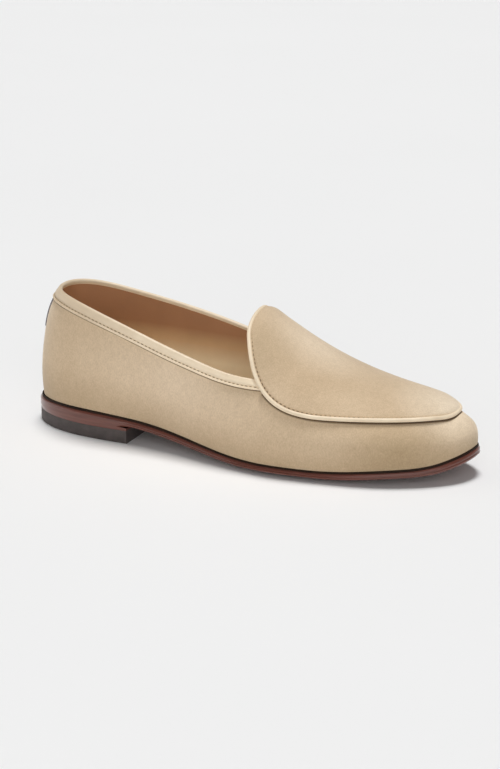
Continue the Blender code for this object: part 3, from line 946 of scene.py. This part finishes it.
def upper_lining(leather):
    """The inner face of the wall, seen through the collar."""
    turns = np.linspace(0, 1, TURNS + 1)

    def shell(part):
        def at(t, side):
            climb = part * top_climb(t, side, LINING_TOP) if part > 0 else np.full(len(t), part)
            return lifted(t, climb, side, np.full(len(t), -WALL))

        return at

    parts = np.concatenate([np.linspace(1, 0, LINING_ROWS), LINING_FOOT])
    rows = [ring(turns, shell(part)) for part in parts]
    mesh = surface("upper_lining", [np.concatenate(rows)], wrap=True)
    piece("upper_lining", mesh, leather, "sock_leather", "upper")


def apron_place(along, spread):
    """Turn and climb on the last of a point of the apron, spread from 0 at its middle to 1 on its edge."""
    edge = APRON_REAR + (APRON_FRONT - APRON_REAR) * share_at(along)
    share = APRON_MIDDLE + spread * (edge - APRON_MIDDLE)
    return turn_of(share), 1 - apron_reach(along) * spread


def tongue_curl(along, spread):
    """How far the end of the tongue bends down off the last."""
    outer = rising(spread, TONGUE_CURL_START, 1)
    return TONGUE_CURL * outer * rising(along, TONGUE_TURN, 0)


def apron_grid(lift):
    """A square grid spread out to the apron's round outline, lifted off the last."""
    forward = np.linspace(-1, 1, APRON_ALONG + 1)[None, :]
    across = np.linspace(-1, 1, APRON_ACROSS + 1)[:, None]
    u = forward * np.sqrt(1 - across**2 / 2)
    w = across * np.sqrt(1 - forward**2 / 2)
    spread = APRON_REACH * np.minimum(np.hypot(u, w), 1)
    along = np.arctan2(np.abs(w), -u) / np.pi
    spot = apron_place(along, spread)
    faces = {side: lifted(*spot, side, lift(along, spread)) for side in (LATERAL, MEDIAL)}
    return np.where((w > 0)[..., None], faces[MEDIAL], faces[LATERAL])


def apron(nap, leather):
    """The apron's suede, turned down under the piping at its edge, and the lining under its tongue."""

    def suede_lift(along, spread):
        past = np.clip((spread - APRON_ROUND) / (APRON_REACH - APRON_ROUND), 0, 1)
        puff = TOE_PUFF * rising(along, TOE_PUFF_START, 1) * spread**2
        beside = np.exp(-(((spread - TONGUE_PUFF_PLACE) / TONGUE_PUFF_WIDTH) ** 2))
        puff = puff + TONGUE_PUFF * rising(along, TONGUE_PUFF_END, 0) * beside
        thickness = (APRON + puff) * (1 - APRON_DIP * past**APRON_DIP_POWER)
        return GAP + thickness - tongue_curl(along, spread)

    def lining_lift(along, spread):
        return GAP / 2 - tongue_curl(along, spread)

    piece("apron", surface("apron", [apron_grid(suede_lift)]), nap, "suede", "apron")
    under = apron_grid(lining_lift)[::-1]
    piece("tongue_lining", surface("tongue_lining", [under]), leather, "sock_leather", "apron")


def apron_border(lift, margin, sinks=False):
    """A loop along the apron's edge, forward on the outer side, with its directions up and outward."""
    along = np.linspace(0, 1, BORDER_SAMPLES + 1)
    spot = apron_place(along, 1)
    sunk = tongue_curl(along, 1)
    if sinks:
        sunk = sunk + TONGUE_DROP * rising(along, TONGUE_TURN, 0) + TOE_DROP * rising(along, TOE_TURN, 1)
    path = np.concatenate([last_point(*spot, LATERAL)[:-1], last_point(*spot, MEDIAL)[:0:-1]])
    facing = np.concatenate([last_normal(*spot, LATERAL)[:-1], last_normal(*spot, MEDIAL)[:0:-1]])
    outward = unit(np.cross(np.roll(path, -1, 0) - np.roll(path, 1, 0), facing))
    raised = lift - np.concatenate([sunk[:-1], sunk[:0:-1]])
    return path + raised[:, None] * facing + margin * outward, facing, outward


def piping(leather):
    """A round leather cord along the apron's edge."""
    path, facing, outward = apron_border(PIPING_RADIUS + GAP, PIPING_RADIUS + GAP, sinks=True)
    angles = np.linspace(0, 2 * np.pi, PIPING_SIDES, endpoint=False)
    rows = [path + PIPING_RADIUS * (np.cos(a) * outward + np.sin(a) * facing) for a in angles]
    grid = np.stack(rows + rows[:1])
    piece("piping", surface("piping", [grid], wrap=True), leather, "trim_leather", "piping")


def binding_end(depth, side):
    """Turn at which the binding goes under the piping, at a depth under the collar's edge."""
    border = apron_border(0, PIPING_RADIUS)[0]
    if side == MEDIAL:
        border = np.roll(border[::-1], 1, axis=0)
    throat = border[: round(BORDER_SAMPLES * THROAT_ALONG)]
    share = throat[:, 0] / LENGTH
    return turn_of(np.interp(depth, collar[SIDE_NAMES[side]](share) - throat[:, 2], share))


def binding_row(depth, lift):
    """Points along the binding at a depth under the collar, from its inner end to its outer end."""
    rows = []
    ways = {MEDIAL: np.linspace(1, 0, BINDING_COLUMNS), LATERAL: np.linspace(0, 1, BINDING_COLUMNS)[1:]}
    for side, stations in ways.items():
        turn = stations * binding_end(depth * (1 - BINDING_TAPER), side)
        narrowed = depth * (1 - BINDING_TAPER * rising(stations, BINDING_TAPER_START, 1))
        rows.append(lifted(turn, collar_climb(turn, side, narrowed), side, np.full(len(turn), lift)))
    return np.concatenate(rows)


def binding_roll(angle):
    """Points along the binding's fold, at an angle from its outside over to its inside."""
    radius = WALL / 2 + BINDING_LIFT
    outside = binding_row(-BINDING_RISE, 0.0)
    outward = unit(binding_row(-BINDING_RISE, SLOPE_STEP) - outside)
    up = unit(outside - binding_row(SLOPE_STEP - BINDING_RISE, 0.0))
    up = unit(up - outward * np.sum(up * outward, -1, keepdims=True))
    return outside + outward * (radius * np.cos(angle) - WALL / 2) + up * radius * np.sin(angle)


def topline_binding(leather):
    """The folded strip: bead, stitched groove, flat face, fold and a short inner leg."""
    rows = [binding_row(depth, lift) for depth, lift in BINDING_PROFILE[1:]]
    rows += [binding_roll(angle) for angle in np.linspace(0, np.pi, ROLL_STEPS + 1)]
    rows += [binding_row(depth, lift - WALL) for depth, lift in INNER_LEG[1:]]
    mesh = surface("topline_binding", [np.stack(rows)])
    piece("topline_binding", mesh, leather, "trim_leather", "topline_binding")


def back_tab(tape):
    """A strip of tape over the back seam, with a thin rounded edge."""
    stations = np.linspace(-1, 1, TAB_COLUMNS + 1)
    heights = np.linspace(TAB_BOTTOM, TAB_TOP, TAB_ROWS + 1)
    rows = []
    for height in heights:
        row = []
        for station in stations:
            side = LATERAL if station > 0 else MEDIAL
            turn = np.array([abs(station) * TAB_HALF_WIDTH])
            edge = max(abs(station), abs(2 * (height - TAB_BOTTOM) / (TAB_TOP - TAB_BOTTOM) - 1))
            lift = np.array([TAB_LIFT * np.sqrt(max(0.0, 1 - edge**TAB_EDGE))])
            row.append(lifted(turn, climb_at(turn, height), side, lift)[0])
        rows.append(row)
    piece("back_tab", surface("back_tab", [np.array(rows)]), tape, "dark_tape", "back_tab")


# Seams and stitches


def seam_shade(nap):
    """Narrow strips of painted shade along the lower side of the piping and of the binding."""
    start = round(SHADE_START * BORDER_SAMPLES)
    by_piping = [apron_border(lift, margin)[0][start:-start] for margin, lift in PIPING_SHADE[1:]]
    under_binding = [binding_row(depth, lift) for depth, lift in BINDING_SHADE[1:]]
    grids = [np.stack(rows)[:, ::-1] for rows in (by_piping, under_binding)]
    # The strips are no part of the shoe: their material is painted shade
    piece("seam_shade", surface("seam_shade", grids), nap, "suede")


def stitches(name, path, facing, closed, cotton):
    """Short threads laid end to end along a path, each a bead with rounded ends."""
    ends = np.concatenate([path, path[:1]]) if closed else path
    reached = np.concatenate([[0], np.cumsum(np.linalg.norm(np.diff(ends, axis=0), axis=1))])
    count = int(reached[-1] / STITCH_PITCH)
    middles = (np.arange(count) + 0.5) * reached[-1] / count
    faces = np.concatenate([facing, facing[:1]]) if closed else facing

    def along(table, at):
        return np.stack([np.interp(at, reached, table[:, axis]) for axis in range(3)], 1)

    normal = unit(along(faces, middles))
    start = along(ends, middles - STITCH_LENGTH / 2)
    end = along(ends, middles + STITCH_LENGTH / 2)
    across = unit(np.cross(normal, end - start))
    grids = []
    for i in range(count):
        rows = []
        for part in np.linspace(0, 1, STITCH_RINGS + 1):
            radius = STITCH_RADIUS * np.sqrt(max(0.0, 1 - (2 * part - 1) ** STITCH_ROUND))
            center = start[i] + (end[i] - start[i]) * part
            angles = np.linspace(0, 2 * np.pi, STITCH_SIDES + 1)[:, None]
            rows.append(center + radius * (np.cos(angles) * across[i] + np.sin(angles) * normal[i]))
        grids.append(np.array(rows))
    piece(name, surface(name, grids), cotton, "trim_leather")


def all_stitches(collar_thread, apron_thread):
    """A row in the binding's groove, and one along the apron's edge that sinks away past the throat."""
    on_groove = binding_row(BINDING_STITCH_DEPTH, BINDING_STITCH_LIFT)
    raised = binding_row(BINDING_STITCH_DEPTH, BINDING_STITCH_LIFT + SLOPE_STEP)
    stitches("binding_stitches", on_groove, raised - on_groove, False, collar_thread)
    path, facing, _ = apron_border(GAP + APRON, -APRON_STITCH_INSET)
    along = 1 - np.abs(1 - np.linspace(0, 2, len(path), endpoint=False))
    sunk = STITCH_SINK * rising(along, STITCH_SINK_START, STITCH_SINK_END)
    path = path - sunk[:, None] * facing
    stitches("apron_stitches", path, facing, True, apron_thread)


# Studio


def studio():
    """A pale floor under a pale sky, with the soft suns."""
    floor_mesh = bpy.data.meshes.new("floor")
    corners = [(-FLOOR, -FLOOR, 0), (FLOOR, -FLOOR, 0), (FLOOR, FLOOR, 0), (-FLOOR, FLOOR, 0)]
    floor_mesh.from_pydata(corners, [], [(0, 1, 2, 3)])
    floor_mesh.materials.append(plain("floor_paint", 0.9, 0.4, FLOOR_TONES))
    floor = bpy.data.objects.new("floor", floor_mesh)
    bpy.context.scene.collection.objects.link(floor)
    world = bpy.data.worlds.new("studio")
    world.use_nodes = True
    nodes = world.node_tree.nodes
    links = world.node_tree.links
    direction = nodes.new("ShaderNodeTexCoord").outputs["Generated"]
    parts = nodes.new("ShaderNodeSeparateXYZ")
    links.new(direction, parts.inputs["Vector"])
    glow = nodes.new("ShaderNodeMapRange")
    links.new(parts.outputs["Z"], glow.inputs["Value"])
    for socket, value in SKY.items():
        glow.inputs[socket].default_value = value
    sky = nodes["Background"]
    sky.inputs["Color"].default_value = (1, 1, 1, 1)
    links.new(glow.outputs["Result"], sky.inputs["Strength"])
    bpy.context.scene.world = world
    for name, strength, angle, aim in LIGHTS[1:]:
        light = bpy.data.lights.new(name, "SUN")
        light.energy = strength
        light.angle = angle
        lamp = bpy.data.objects.new(name, light)
        lamp.rotation_euler = Vector(aim).to_track_quat("-Z", "Y").to_euler()
        bpy.context.scene.collection.objects.link(lamp)


def camera():
    data = bpy.data.cameras.new("camera")
    data.lens = CAMERA_LENS
    data.sensor_width = SENSOR
    thing = bpy.data.objects.new("camera", data)
    away = Vector(CAMERA_TARGET) - Vector(CAMERA_PLACE)
    turned = away.to_track_quat("-Z", "Y").to_matrix().to_4x4() @ Matrix.Rotation(CAMERA_ROLL, 4, "Z")
    thing.matrix_world = Matrix.Translation(CAMERA_PLACE) @ turned
    bpy.context.scene.collection.objects.link(thing)
    bpy.context.scene.camera = thing


def main():
    bpy.context.scene.view_settings.view_transform = "Standard"
    camera()
    studio()
    cream = trim_leather()
    brown = lining_leather()
    red_brown = sole_leather()
    outsole(red_brown)
    welt(welt_leather())
    heel(red_brown, heel_rubber())
    insole(brown)
    upper_suede(suede("lasted_suede", foot=True))
    upper_lining(brown)
    apron(suede("apron_suede"), brown)
    piping(cream)
    topline_binding(cream)
    back_tab(dark_tape())
    seam_shade(painted_seam_shade())
    collar_thread = plain("tan_thread", 0.7, 0.0006, COLLAR_THREAD_TONES)
    apron_thread = plain("brown_thread", 0.7, 0.0006, APRON_THREAD_TONES)
    all_stitches(collar_thread, apron_thread)


main()
